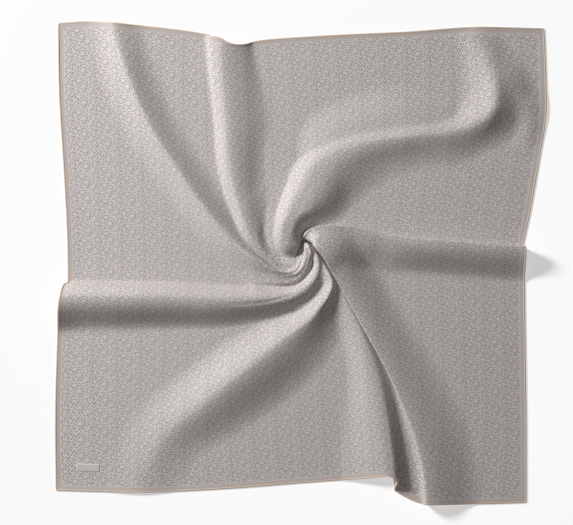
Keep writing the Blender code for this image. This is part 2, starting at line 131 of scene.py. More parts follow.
# bearing of each fold's crest at those distances, degrees anticlockwise from +X
# (rows named corner_* only carry the cloth's corners and have no rise)
BEARING = {
    "east":        (92, 66, 42, 24, 13, 4, -1, -2.2, -3.1, -3.3, -3.3),
    "north_east":  (200, 180, 140, 94, 81, 75, 62, 46, 35.6, 33, 20),
    "corner_tr":   (219, 214, 203, 176, 124, 103, 86, 68, 55, 47, 41.4),
    "north":       (248, 252, 252, 240, 182, 152, 135, 122, 115.25, 109.5, 104),
    "north_west":  (262, 262, 262, 253, 206, 180, 162.5, 151, 143.75, 136.25, 128),
    "corner_tl":   (276, 274, 270, 260, 221, 194, 179, 166.25, 157.25, 148.25, 138.5),
    "tongue":      (294, 292, 282, 268, 238, 210, 198, 192.5, 188.5, 186, 186),
    "west":        (322, 318, 314, 297, 271, 234, 215, 203.5, 197.5, 193.5, 192.3),
    "corner_bl":   (329, 324, 316.5, 302, 288, 258, 238, 223.75, 219.25, 217, 225.2),
    "south_west":  (336, 330, 319, 309, 305, 281, 258, 245.8, 239, 234.8, 237),
    "south":       (346, 338, 322, 312.5, 308, 304, 301, 296.6, 290.5, 285.6, 284.2),
    "south_east":  (358, 352, 333, 322, 314.6, 309.8, 306.8, 304.7, 302.4, 299.2, 293.2),
    "corner_br":   (405, 387, 364, 350, 342, 336, 330, 324.5, 320.25, 315.5, 310.3),
}

# height of each crest above the panels at the same distances
RISE = {
    "east":       (4, 17, 26, 28, 27, 28, 31, 33, 32, 29, 27),
    "north_east": (3, 14, 20, 22, 22, 21, 20, 21, 17, 4, 0),
    "north":      (0, 0, 1, 5, 10, 14, 15.5, 15.5, 15.5, 15.5, 15),
    "north_west": (0, 1, 4, 8, 17, 19, 18, 17, 16.5, 15.75, 4),
    "tongue":     (5, 12, 12, 8, 3, 0, 0, 0, 0, 0, 0),
    "west":       (4, 12, 14, 15, 18, 23, 27, 30, 33, 33, 31),
    "south_west": (0, 2, 6, 11, 18, 22, 24, 26, 21, 10, 2),
    "south":      (0, 0, 1, 4, 8, 11, 11, 13, 17, 20, 20),
    "south_east": (4, 24, 30, 28, 23, 22, 22, 22, 22, 22, 22),
}

# width of each side of a fold, crest to foot, at four distances from the eye; round is how
# blunt the crest is on that side (1 = even wave, over 1 = flat top and steep foot)
NEAR, MID, OUT, FAR = 45, 120, 240, 410
SIDES = {
    #              clockwise side                  anticlockwise side
    #              near mid out far  round         near mid out far    round, in and out
    "east":       ((90, 64, 56, 52), (0.85, 1.2),  (5, 8, 10, 12),     (1.2, 1.2)),
    "north_east": ((70, 86, 60, 62), (1.2, 0.8),   (54, 54, 38, 46),   (2.4, 0.85)),
    "north":      ((22, 50, 74, 48), (1.1, 0.9),   (22, 25, 29, 24),   (1.0, 1.0)),
    "north_west": ((22, 42, 50, 57), (0.85, 0.75), (30, 52, 54, 58),   (0.8, 0.66)),
    "tongue":     ((14, 16, 16, 16), (1.9, 1.3),   (12, 14, 14, 14),   (1.9, 1.2)),
    "west":       ((14, 26, 31, 31), (1.3, 1.1),   (22, 44, 62, 66),   (1.0, 1.05)),
    "south_west": ((22, 36, 68, 78), (0.9, 0.85),  (34, 104, 112, 78), (0.85, 0.8)),
    "south":      ((20, 30, 44, 56), (0.9, 0.9),   (30, 30, 52, 46),   (1.5, 1.4)),
    "south_east": ((6, 6, 6, 7),     (1.1, 1.2),   (92, 74, 76, 98),   (1.2, 0.85)),
}
CW_WIDE, CW_ROUND, CCW_WIDE, CCW_ROUND = range(4)  # the columns of SIDES

# soft ridges that no fold carries: the end of the far right fold, turned back to the far hem
SPURS = [
    # crest points (x, y, height, half width on its left, on its right)
    ((236, 223, 8, 40, 44), (280, 229, 14, 46, 52), (318, 249, 18, 60, 60), (344, 276, 20, 66, 66),
     (346, 306, 18, 64, 66), (331, 346, 12, 56, 54), (312, 390, 7, 44, 46)),
]

# how far a crest leans anticlockwise, and how far its sides swell past their feet
LEAN = {
    #              lean              swell: clockwise, anticlockwise side
    "east":       ((3, 5, 8, 10),    (0, 0, 0, 0),  (0, 0, 0, 0)),
    "north":      ((0, 0, 0, 0),     (0, 0, 4, 11), (0, 0, 3, 13)),
    "west":       ((0, 0, 0, 0),     (0, 0, 1, 4),  (0, 0, 0, 0)),
    "south":      ((0, 0, 3, 31),    (0, 0, 0, 0),  (0, 0, 0, 6)),
    "south_east": ((-5, -7, -8, -6), (0, 0, 0, 5),  (0, 0, 0, 0)),
}
CREST_LEAN, CW_SWELL, CCW_SWELL = range(3)  # the columns of LEAN

# outer edge of the finished scarf, in order from the east fold round
OUTLINE = {
    # stretch: its points, each x, y and 1 at a sharp corner
    "right_upper": ((389.0, 29.5, 1), (402.5, 92.0, 0), (419.5, 190.0, 0), (427.8, 240.0, 0),
                    (430.5, 290.0, 0), (426.6, 410.6, 1)),
    "top_right": ((300.0, 412.8, 0), (190.0, 405.0, 0), (60.0, 399.0, 0), (-60.0, 391.0, 0),
                  (-117.0, 381.5, 0)),
    "top_fold": ((-139.0, 393.0, 0), (-148.0, 397.0, 0)),
    "top_left": ((-205.0, 407.0, 0), (-290.0, 416.5, 0), (-368.0, 422.8, 0), (-425.8, 420.0, 1)),
    "left_upper": ((-424.0, 300.0, 0), (-416.0, 170.0, 0), (-410.0, 60.0, 0), (-408.5, -30.0, 0)),
    "left_fold": ((-414.5, -40.0, 0), (-423.0, -75.0, 0)),
    "left_lower": ((-427.0, -140.0, 0), (-430.5, -270.0, 0), (-429.2, -399.0, 1)),
    "bottom_left": ((-335.0, -401.5, 0), (-240.0, -401.6, 0), (-110.0, -394.5, 0),
                    (18.0, -384.5, 0), (95.0, -379.0, 0)),
    "south_fold": ((118.0, -376.5, 0), (127.0, -379.5, 0)),
    "bottom_right": ((152.0, -394.0, 0), (186.0, -412.0, 0), (214.0, -421.5, 0),
                     (305.0, -422.7, 0), (395.2, -420.5, 1)),
    "right_lower": ((395.0, -275.0, 0), (393.5, -150.0, 0), (392.2, -40.0, 0), (392.0, 10.0, 0)),
}
print("folds:", len(RISE), "outline points:", sum(map(len, OUTLINE.values())))

# %% [markdown]
# A row holds a few numbers, and the cloth needs one at every distance. A smooth curve through
# them that never overshoots keeps a crest from wobbling between two entries.

# %% Curves through a table
FOLDS = list(BEARING)
TINY = 1e-9


def unit(v):
    """The same directions at length 1."""
    return v / np.linalg.norm(v, axis=-1)[..., None]


def run_along(points):
    """Distance run along a line of points, from its start to each of them."""
    return np.concatenate([[0], np.cumsum(np.linalg.norm(np.diff(points, axis=0), axis=1))])


def slopes(x, y):
    """Slopes for a smooth curve that never overshoots its table."""
    rise = np.diff(y) / np.diff(x)
    before, after = rise[:-1], rise[1:]
    with np.errstate(divide="ignore", invalid="ignore"):
        inner = np.where(before * after > 0, 2 * before * after / (before + after), 0.0)
    return np.concatenate([rise[:1], inner, rise[-1:]])


def curve(x, y, at):
    """Smooth curve through the table y(x), read at the distances at."""
    x, y = np.asarray(x, float), np.asarray(y, float)
    at = np.clip(np.asarray(at, float), x[0], x[-1])
    m = slopes(x, y)
    i = np.clip(np.searchsorted(x, at, side="right") - 1, 0, len(x) - 2)
    step = x[i + 1] - x[i]
    t = (at - x[i]) / step
    return (y[i] * (2 * t**3 - 3 * t**2 + 1) + m[i] * step * (t**3 - 2 * t**2 + t)
            + y[i + 1] * (3 * t**2 - 2 * t**3) + m[i + 1] * step * (t**3 - t**2))


def bearing(r):
    """Bearing of every row's crest at distance r, in radians: (rows, len r)."""
    return np.radians([curve(AT, BEARING[k], r) for k in FOLDS])


def sized(table, column, r):
    """One column of a table's rows, near to far, read at distance r: (rows, len r)."""
    return np.array([curve((NEAR, MID, OUT, FAR), table[k][column], r) if k in table
                     else np.zeros_like(r) for k in FOLDS])


def flank(u, blunt):
    """Side of a fold: 1 at its crest, 0 from its foot on."""
    return 0.5 * (1 + np.cos(np.pi * np.clip(u, 0, 1) ** blunt))


crests = np.degrees(bearing(300.0)).round().astype(int).tolist()
print("bearings 300 mm out:", dict(zip(FOLDS, crests)))

# %% [markdown]
# The hem of the laid scarf is no longer square. A smooth line runs through its outline points and
# breaks only at the corners, and each column of the cloth asks how far off that line lies.

# %% The hem line
HEM_STEPS = 12  # points between two outline knots
LEAST_MITRE = 0.3  # a corner sharper than this isn't mitred in full


def hem_line(inset):
    """The scarf's outer edge as a closed dense curve, drawn in by inset."""
    points = [point for stretch in OUTLINE.values() for point in stretch]
    knots = np.array([(x, y) for x, y, _ in points])
    sharp = [corner for _, _, corner in points]
    n = len(knots)
    runs = []
    for i in range(n):
        a, b, c, d = knots[i - 1], knots[i], knots[(i + 1) % n], knots[(i + 2) % n]
        if sharp[i]:
            a = 2 * b - c
        if sharp[(i + 1) % n]:
            d = 2 * c - b
        t = np.linspace(0, 1, HEM_STEPS, endpoint=False)[:, None]
        runs.append(0.5 * (2 * b + (c - a) * t + (2 * a - 5 * b + 4 * c - d) * t**2
                           + (3 * b - a - 3 * c + d) * t**3))
    line = np.vstack(runs)
    normals = []
    for edge in (line - np.roll(line, 1, 0), np.roll(line, -1, 0) - line):
        edge = unit(edge)
        normals.append(np.stack([-edge[:, 1], edge[:, 0]], 1))
    mitre = normals[0] + normals[1]
    mitre /= np.maximum((mitre * normals[0]).sum(1), LEAST_MITRE)[:, None]
    return line + mitre * inset


class Hem:
    """The hem line seen from the eye."""

    def __init__(self, inset):
        line = hem_line(inset) - (EYE_X, EYE_Y)
        turn = np.unwrap(np.arctan2(line[:, 1], line[:, 0]))
        self.line = np.vstack([line, line[:1]])
        self.turn = np.append(turn, turn[0] + 2 * np.pi)

    def reach(self, a):
        """Distance from the eye to the hem line along bearing a."""
        a = (a - self.turn[0]) % (2 * np.pi) + self.turn[0]
        i = np.clip(np.searchsorted(self.turn, a, side="right") - 1, 0, len(self.turn) - 2)
        p, edge = self.line[i], self.line[i + 1] - self.line[i]
        across = np.cos(a) * edge[..., 1] - np.sin(a) * edge[..., 0]
        across = np.where(abs(across) < TINY, TINY, across)
        return (p[..., 0] * edge[..., 1] - p[..., 1] * edge[..., 0]) / across


print("hem round the scarf in mm:", round(run_along(hem_line(0.0))[-1]))

# %% [markdown]
# The cloth's height is a sum. Near the eye it stands up on its own gathers, each fold adds a wave
# whose sides are as wide as its row says, and a spur takes over where it is the higher. A crest
# that leans carries its sides along, so a lip can hang over the panel beside it.

# %% The lifted cloth
RIDGE_STEPS = 25  # points along a ridge's crest
RIDGE_ROUND = 0.80  # bluntness of its flanks
BLEND = 4  # how sharply the smaller or larger of two values takes over


def soft_least(a, b):
    """The smaller of two widths, eased where they are alike."""
    return a * b / (a**BLEND + b**BLEND) ** (1 / BLEND)


def soft_most(a, b):
    """The larger of two heights, eased where they are alike."""
    return (a**BLEND + b**BLEND) ** (1 / BLEND)


def ridge(x, y, crest, blunt=RIDGE_ROUND):
    """Height at x, y of a soft ridge. Its crest is points: x, y, height, half width left, right."""
    crest = np.array(crest, float)
    knots, fine = np.linspace(0, 1, len(crest)), np.linspace(0, 1, RIDGE_STEPS)
    px, py, height, left, right = (curve(knots, column, fine) for column in crest.T)
    best = np.zeros(x.shape)
    for i in range(RIDGE_STEPS - 1):
        ex, ey = px[i + 1] - px[i], py[i + 1] - py[i]
        t = np.clip(((x - px[i]) * ex + (y - py[i]) * ey) / (ex * ex + ey * ey), 0, 1)
        bx, by = x - px[i] - t * ex, y - py[i] - t * ey
        away = np.hypot(bx, by)
        side = (ex * by - ey * bx) / (np.hypot(ex, ey) * np.maximum(away, TINY))  # -1 is right
        wide_left = left[i] + (left[i + 1] - left[i]) * t
        wide_right = right[i] + (right[i + 1] - right[i]) * t
        half = 0.5 * (wide_left + wide_right + (wide_left - wide_right) * side)
        tall = height[i] + (height[i + 1] - height[i]) * t
        rise = tall * flank(away / half, blunt)
        best = np.where(np.abs(rise) > np.abs(best), rise, best)
    return best


GATHER = 150.0  # the cloth stands up off the floor within this of the eye
DIP_FROM, DIP_WIDE = 12.0, 40.0  # and sinks a little right at the eye
MOST_SLANT = 1.5  # a crest's slant to the ring counts no more than this
CALM_FROM, CALM_TO = 10.0, 26.0  # no overhang nearer the eye than this
LEAN_ROUND = 1.7  # how soon a leaning crest's anticlockwise side straightens
SLACK = 0.2  # radians past the next crest that a side may still be read


def lift(a, r):
    """Height and sideways shift of the cloth at bearing a, distance r (same shapes)."""
    a, r = np.broadcast_arrays(np.asarray(a, float), np.asarray(r, float))
    shape = a.shape
    a, r = a.ravel(), np.maximum(r.ravel(), TINY)
    crest, crest_on = bearing(r), bearing(r + 1.0)  # here, and a millimetre on
    raised = [FOLDS.index(k) for k in RISE]
    z = FOOT * flank(r / GATHER, 1.0) * flank((DIP_FROM - r) / DIP_WIDE, 1.0)
    dx, dy = np.zeros_like(r), np.zeros_like(r)
    calm = flank((CALM_TO - r) / (CALM_TO - CALM_FROM), 1.0)
    out = flank((OUT - r) / (OUT - NEAR), 1.0)
    w_cw, w_ccw = sized(SIDES, CW_WIDE, r), sized(SIDES, CCW_WIDE, r)
    lean = sized(LEAN, CREST_LEAN, r)
    swell_cw, swell_ccw = sized(LEAN, CW_SWELL, r), sized(LEAN, CCW_SWELL, r)
    for j, i in enumerate(raised):
        name = FOLDS[i]
        before, after = raised[j - 1], raised[(j + 1) % len(raised)]
        gap_cw = (crest[i] - crest[before]) % (2 * np.pi)
        gap_ccw = (crest[after] - crest[i]) % (2 * np.pi)
        turn = np.clip((crest_on[i] - crest[i]) * r, -MOST_SLANT, MOST_SLANT)
        cosine = 1.0 / np.sqrt(1 + turn**2)
        d = (a - crest[i] + np.pi) % (2 * np.pi) - np.pi
        d = np.where(d > gap_ccw + SLACK, d - 2 * np.pi, d)
        d = np.where(d < -gap_cw - SLACK, d + 2 * np.pi, d)
        ccw = d >= 0
        width = np.where(ccw, w_ccw[i], w_cw[i]) / cosine / r
        width = soft_least(width, np.where(ccw, gap_ccw, gap_cw))  # never past the next crest
        u = np.abs(d) / np.maximum(width, TINY)
        cw_in, cw_out = SIDES[name][CW_ROUND]
        ccw_in, ccw_out = SIDES[name][CCW_ROUND]
        blunt = np.where(ccw, ccw_in + (ccw_out - ccw_in) * out, cw_in + (cw_out - cw_in) * out)
        f = flank(u, blunt)
        z = z + curve(AT, RISE[name], r) * f
        swell = np.where(ccw, swell_ccw[i], -swell_cw[i]) * np.sin(np.pi * np.clip(u, 0, 1)) ** 2
        shift = (lean[i] * np.where(ccw, f ** LEAN_ROUND, f) + swell) * calm
        along = cosine * turn
        dx += shift * (cosine * -np.sin(crest[i]) - along * np.cos(crest[i]))
        dy += shift * (cosine * np.cos(crest[i]) - along * np.sin(crest[i]))
    for spur in SPURS:
        z = soft_most(z, ridge(EYE_X + r * np.cos(a), EYE_Y + r * np.sin(a), spur))
    return z.reshape(shape), dx.reshape(shape), dy.reshape(shape)


print("height of the left fold's crest 300 mm out:",
      round(float(lift(bearing(300.0)[FOLDS.index("west")], 300.0)[0]), 1), "mm")

# %% [markdown]
# A grid that follows the folds needs far fewer faces than an even one, because its columns crowd
# where the cloth bends. Each column runs out from the eye and keeps to its own fold.

# %% Columns and rings
MOST_SHARE = 0.46  # most of the gap to the next crest that a side's columns take
CORNER_CROWD = 1.35  # how much a panel's columns crowd toward the corner it starts at
ROUND_TO = 50.0  # rings are circles out to here, then turn into the hem line
REACH_START, REACH_ROUNDS = 430.0, 60


def layout(r, shares):
    """Bearings of all columns at distance r, and the row that each column belongs to.

    shares holds for each row: shares of its clockwise side, of its anticlockwise side, and how
    many columns cross the panel after it."""
    r = np.atleast_1d(r)
    crest = bearing(r)
    w_cw, w_ccw = sized(SIDES, CW_WIDE, r), sized(SIDES, CCW_WIDE, r)
    columns = []
    for i, name in enumerate(FOLDS):
        j = (i + 1) % len(FOLDS)
        after = FOLDS[j]
        gap = (crest[j] - crest[i]) % (2 * np.pi)
        most = MOST_SHARE * gap
        a = soft_least(w_ccw[i] / r if name in SIDES else 0 * r, most)
        b = soft_least(w_cw[j] / r if after in SIDES else 0 * r, most)
        columns.append((name, crest[i]))
        columns += [(name, crest[i] + a * s) for s in shares[name][1]]
        low = a if shares[name][1] else 0 * r
        high = b if shares[after][0] else 0 * r
        panel = shares[name][2]
        crowd = 1.0 if name in SIDES else CORNER_CROWD
        columns += [(name, crest[i] + low + (gap - low - high) * ((c + 1) / (panel + 1)) ** crowd)
                    for c in range(panel)]
        columns += [(after, crest[j] - b * s) for s in reversed(shares[after][0])]
    return np.array([c for _, c in columns]), [name for name, _ in columns]


def columns_at(r, shares):
    """Bearing of each column, each read at its own distance r."""
    return np.diagonal(layout(r, shares)[0]).copy()


def cloth_points(shares, rings, hem):
    """The cloth's underside (ring, column, xyz), and its plan before any fold leans."""
    reach = np.full(len(layout(REACH_START, shares)[1]), REACH_START)
    for _ in range(REACH_ROUNDS):  # halfway nearer each round, so that it settles
        reach = 0.5 * reach + 0.5 * hem.reach(columns_at(reach, shares))
    skin, plan = [], []
    for rho in rings:
        s = np.clip((rho - ROUND_TO) / (rings[-1] - ROUND_TO), 0, 1)
        s = s * s * (3 - 2 * s)
        r = rho * (1 + (reach / rings[-1] - 1) * s)
        a = columns_at(r, shares)
        z, dx, dy = lift(a, r)
        x, y = EYE_X + r * np.cos(a), EYE_Y + r * np.sin(a)
        plan.append(np.stack([x, y], 1))
        skin.append(np.stack([x + dx, y + dy, z], 1))
    return np.array(skin), np.array(plan)


# %% [markdown]
# ## The sheet
# The cloth is one grid. Its columns run from the eye out to the hem and follow the folds, so a
# fold keeps a crisp crest however it winds, and its rings go round the eye. A grid made by hand
# in the viewport would need sculpting; here the grid operator makes the faces, and each point is
# put where the fold tables say.

# %% Fine columns and rings
MM = 0.001


def even(count):
    """Shares of one side of a fold, evenly spaced from its crest to its foot."""
    return tuple((i + 1) / count for i in range(count))


FINE = {
    # row: columns on its clockwise side, on its anticlockwise side, across the panel after it
    "east": (18, 9, 20), "north_east": (20, 13, 8), "corner_tr": (0, 0, 30),
    "north": (12, 9, 8), "north_west": (13, 14, 11), "corner_tl": (0, 0, 20), "tongue": (6, 6, 8),
    "west": (11, 14, 12), "corner_bl": (0, 0, 12), "south_west": (15, 17, 12), "south": (11, 14, 3),
    "south_east": (8, 19, 12), "corner_br": (0, 0, 16),
}
fine_shares = {k: (even(cw), even(ccw), panel) for k, (cw, ccw, panel) in FINE.items()}
RING_COUNT, RING_FIRST, RING_LAST = 118, 2.0, 402.0
RING_CROWD = 0.58  # how much the rings crowd toward the eye
HEM_ROLL, ROLL_FLAT = 3.2, 0.6  # width of the rolled hem, and its height's share of that
CLOTH_INSET, LAST_RING = 2.0, 0.8  # the sheet ends this far inside the outline, in its roll

growth = np.linspace(0, 1, RING_COUNT)
growth = (1 - RING_CROWD) * growth + RING_CROWD * growth**2
rings = RING_FIRST + (RING_LAST - RING_FIRST) * growth
rings[-1] -= LAST_RING  # the sheet's rim turns down under the rolled hem
rings = np.append(rings, RING_LAST)
hem = Hem(CLOTH_INSET)
skin, plan = cloth_points(fine_shares, rings, hem)
ring_count, column_count = skin.shape[:2]
print("columns:", column_count, "rings:", ring_count)

# %% [markdown]
# Creases are what the folds' table is too coarse for. Each is a soft trough or ridge along a
# short path of its own. A swell is broader: it lifts only what lies lower than itself.

# %% Swells and creases
SWELLS = [
    # (x, y, height, half width on its left, on its right)
    ((40, 170, 5, 50, 30), (80, 190, 12, 100, 40), (160, 214, 12, 105, 40),
     (240, 226, 8, 80, 30)),  # beside the far right fold
]
CREASES = [
    # (x, y, height, half width on its left, on its right)
    ((-82, -37, -0.5, 5, 5), (-45, -40, -2.5, 6, 5), (-14, -41, -3.5, 6, 5), (4, -28, -3, 5, 4),
     (14, -9, -2, 4, 4)),  # under the left fold's lip
    ((-87, 27, -0.5, 6, 6), (-65, 5, -2.5, 6, 5), (-45, -4, -3, 6, 5), (-19, -10, -2, 5, 4)),
    ((-77, 8, -0.3, 5, 5), (-63, -7, -1.8, 6, 5), (-48, -16, -0.5, 5, 5)),
    ((-133, -74, -0.3, 5, 4), (-66, -69, -1.2, 6, 6), (-15, -56, -1.2, 6, 6)),
    ((62, 34, 1.5, 34, 26), (92, 16, 4, 46, 40), (118, -8, 3, 46, 40),
     (140, -34, 1, 34, 34)),  # where the right folds meet
    ((322, 236, 1, 60, 14), (334, 262, 4, 80, 14), (338, 300, 4, 80, 14),
     (326, 350, 1, 60, 14)),  # round the far right fold's end
    ((372, 330, 1, 30, 30), (392, 290, 4, 34, 34), (398, 240, 4, 34, 34), (392, 200, 1, 30, 30)),
    ((-9, 8, -2, 3, 3), (-3, 26, -8, 4, 4), (4, 38, -12, 5, 5), (13, 37, -11, 5, 4),
     (21, 28, -5, 4, 3), (30, 14, -2, 3, 3)),  # the pit over the tongue
]
SWELL_ROUND = 1.5  # a swell's top is flatter than a ridge's
LOWEST = 0.25  # air under the cloth where it lies flat
EDGE_RISE, EDGE_WIDE = 0.7, 10.0  # the cloth climbs into its rolled edge

for swell in SWELLS:
    skin[..., 2] = soft_most(skin[..., 2], ridge(plan[..., 0], plan[..., 1], swell, SWELL_ROUND))
for crease in CREASES:
    skin[..., 2] += ridge(plan[..., 0], plan[..., 1], crease)
to_hem = np.hypot(*np.moveaxis(plan - plan[-1], -1, 0))
skin[..., 2] = np.maximum(skin[..., 2], LOWEST) + EDGE_RISE * flank(to_hem / EDGE_WIDE, 1.0)
print("swells:", len(SWELLS), "creases:", len(CREASES))

# %% [markdown]
# The print was on the cloth before it was twisted, so it has to be laid out on the flat square.
# The plan of the folds, seen from above, is the first guess, with its hem spread along the
# square's sides. Then every triangle of the sheet pulls its three corners toward its own true
# shape, first on a coarse pick of the points and then on finer ones, until the folds' flanks
# have the room that they need. The result is the sheet's UV map, a share of the square each way.

# %% The square and its corners
CUT = 900.0  # the square before it was laid, each side
SQUARE = (1 + 1j, -1 + 1j, -1 - 1j, 1 - 1j)
CORNER_ROWS = ("corner_tr", "corner_tl", "corner_bl", "corner_br")
rows_of_columns = layout(REACH_START, fine_shares)[1]
corner_columns = [rows_of_columns.index(row) for row in CORNER_ROWS]
print("columns at the corners:", corner_columns)

# %% Pressing the cloth flat
# corners of the two triangles in a cell of the grid, each (ring, column)
CELL_TRIANGLES = (((0, 0), (1, 0), (1, 1)), ((0, 0), (1, 1), (0, 1)))
PRESSING = ((8, 150), (4, 120), (2, 80), (1, 60))  # (every nth point, rounds)
HEM_PULL = 1.5  # how closely the first move to the square keeps to the hem
GLIDE, HURRY = 0.9, 0.5  # how much of its last move a point keeps, and takes of the new
LEAST_SQUARED = 0.01  # a sliver's side counts as no shorter than the root of this


def side_columns(side):
    """Columns that end on one side of the square, from corner to corner."""
    first, last = corner_columns[side], corner_columns[(side + 1) % 4]
    if last < first:
        last += column_count
    return [c % column_count for c in range(first, last + 1)]


def pressed_hem(edge):
    """Place of each hem point on the square's sides, by its length along the hem."""
    flat = np.zeros(len(edge), complex)
    for side in range(4):
        columns = side_columns(side)
        run = run_along(edge[columns])
        start, end = SQUARE[side] * CUT / 2, SQUARE[(side + 1) % 4] * CUT / 2
        flat[columns] = start + (end - start) * run / run[-1]
    return flat


def taken(grid, corner):
    """One corner of every cell."""
    return np.roll(grid[corner[0]:len(grid) - 1 + corner[0]], -corner[1], 1)


def given(grid, corner, amount):
    """Adds an amount at one corner of every cell."""
    grid[corner[0]:len(grid) - 1 + corner[0]] += np.roll(amount, corner[1], 1)


def triangle_shapes(points):
    """The three sides of every triangle, laid flat, as complex numbers."""
    shapes = []
    for corners in CELL_TRIANGLES:
        a, b, c = (taken(points, corner) for corner in corners)
        length = np.linalg.norm(b - a, axis=-1)
        along = (b - a) / np.maximum(length, TINY)[..., None]
        reach = ((c - a) * along).sum(-1)
        apex = reach + 1j * np.linalg.norm(c - a - along * reach[..., None], axis=-1)
        shapes.append((length + 0j, apex - length, -apex))
    return shapes


def settled(flat, shapes, rounds):
    """The flat points once each triangle has pulled toward its own shape, the hem held."""
    flat, speed = flat.copy(), np.zeros_like(flat)
    for _ in range(rounds):
        move, weight = np.zeros_like(flat), np.full(flat.shape, TINY)
        for corners, shape in zip(CELL_TRIANGLES, shapes):
            places = [taken(flat, corner) for corner in corners]
            sides = [places[(k + 1) % 3] - places[k] for k in range(3)]
            turn = sum(side * true.conj() for side, true in zip(sides, shape))
            turn /= np.abs(turn) + TINY
            for k in range(3):
                stiff = 1 / np.maximum(np.abs(shape[k]) ** 2, LEAST_SQUARED)
                pull = (sides[k] - turn * shape[k]) * stiff
                for corner, amount in ((corners[k], pull), (corners[(k + 1) % 3], -pull)):
                    given(move, corner, amount)
                    given(weight, corner, stiff)
        speed = GLIDE * speed + HURRY * move / weight
        flat[:-1] += speed[:-1]
    return flat


def pressed(points, plan, steps):
    """Flat place of every point of the sheet, as a complex number of millimetres."""
    place = (plan[..., 0] + 1j * plan[..., 1]) * CUT / np.ptp(plan[-1, :, 0])
    away = np.hypot(plan[..., 0] - EYE_X, plan[..., 1] - EYE_Y)
    flat = place + (pressed_hem(points[-1]) - place[-1]) * (away / away[-1]) ** HEM_PULL
    for every, rounds in steps:
        rows = np.linspace(0, ring_count - 1, ring_count // every).round().astype(int)
        columns = np.arange(0, column_count, every)
        pick = np.ix_(rows, columns)
        shapes = triangle_shapes(points[pick])
        area = sum((a.conj() * b).imag.sum() / 2 for a, b, _ in shapes)
        shapes = [[side * CUT / math.sqrt(area) for side in shape] for shape in shapes]
        moved = settled(flat[pick], shapes, rounds) - flat[pick]
        wide = [np.interp(np.arange(column_count), columns, m, period=column_count) for m in moved]
        flat += np.array([np.interp(np.arange(ring_count), rows, m) for m in np.array(wide).T]).T
    return flat


flat = pressed(skin, plan, PRESSING)
stretch = np.abs(np.diff(flat, axis=1)) / np.linalg.norm(np.diff(skin, axis=1), axis=-1)
print("flat threads to folded ones:", np.percentile(stretch, (2, 50, 98)).round(2))

# %% [markdown]
# A grid operator makes a sheet of plain faces. Its last column is welded to its first, a small cap
# closes the eye, and every point carries its place on the flat square, from which the UV map is
# filled in. The Solidify modifier gives the silk its thickness.

# %% The sheet's mesh
SHEET = 0.45  # thickness of the silk


def linked(name, mesh, material=None, smooth=True):
    """The mesh as a new object at the origin, in one finish."""
    for polygon in mesh.polygons:
        polygon.use_smooth = smooth
    if material:
        mesh.materials.append(material)
    ob = bpy.data.objects.new(name, mesh)
    bpy.context.scene.collection.objects.link(ob)
    return ob


def finished(name, bm, material=None, smooth=True):
    """The bmesh as a new object at the origin."""
    mesh = bpy.data.meshes.new(name)
    bm.to_mesh(mesh)
    bm.free()
    return linked(name, mesh, material, smooth)


def walled(ob, thickness):
    """Thickens a piece outward by so many millimetres."""
    wall = ob.modifiers.new("wall", "SOLIDIFY")
    wall.thickness = thickness * MM
    wall.offset = 1.0


closed = np.concatenate([skin, skin[:, :1]], 1)  # the last column meets the first
closed_flat = np.concatenate([flat, flat[:, :1]], 1)
middle = flat[0].mean()
bm = bmesh.new()
bmesh.ops.create_grid(bm, x_segments=column_count, y_segments=ring_count - 1, size=1.0)
flat_of = bm.verts.layers.float_vector.new("flat")
for vert, place, flat_place in zip(bm.verts, closed.reshape(-1, 3), closed_flat.ravel()):
    vert.co = Vector(place * MM)
    vert[flat_of] = Vector((flat_place.real, flat_place.imag, 0.0))
row = column_count + 1
bm.verts.ensure_lookup_table()
bmesh.ops.weld_verts(bm, targetmap={bm.verts[i * row + column_count]: bm.verts[i * row]
                                    for i in range(ring_count)})
bm.verts.ensure_lookup_table()
inner = [v for v in bm.verts if v.is_boundary and
         math.hypot(v.co.x / MM - EYE_X, v.co.y / MM - EYE_Y) < 2 * RING_FIRST]
rim_edges = [e for e in bm.edges if e.is_boundary and all(v in inner for v in e.verts)]
cap = bmesh.ops.contextual_create(bm, geom=rim_edges)["faces"]
poked = bmesh.ops.poke(bm, faces=cap)["verts"]
for vert in poked:
    vert[flat_of] = Vector((middle.real, middle.imag, 0.0))
uv = bm.loops.layers.uv.new("cut")
for face in bm.faces:
    for loop in face.loops:
        place = loop.vert[flat_of]
        loop[uv].uv = (place.x / CUT + 0.5, place.y / CUT + 0.5)
bmesh.ops.recalc_face_normals(bm, faces=bm.faces)
if sum(f.normal.z for f in bm.faces) < 0:
    bmesh.ops.reverse_faces(bm, faces=bm.faces)
sheet = finished("silk_sheet", bm)
walled(sheet, SHEET)
print("faces in the sheet:", len(sheet.data.polygons))

# %% [markdown]
# ## The print
# The cloth is a warm grey ground with a small all-over repeat: short slanted strokes in a few
# close greys, lilac and rose, light flecks between them, in a half-drop block with a faint tint
# that comes and goes over it. A picture file could hold it, but a pattern made of nodes stays
# sharp at any size. Each cell of a fine brick lattice holds one stroke. A few sums turn the
# cell's number into the stroke's slant, its shift and its ink, and they repeat from block to
# block.

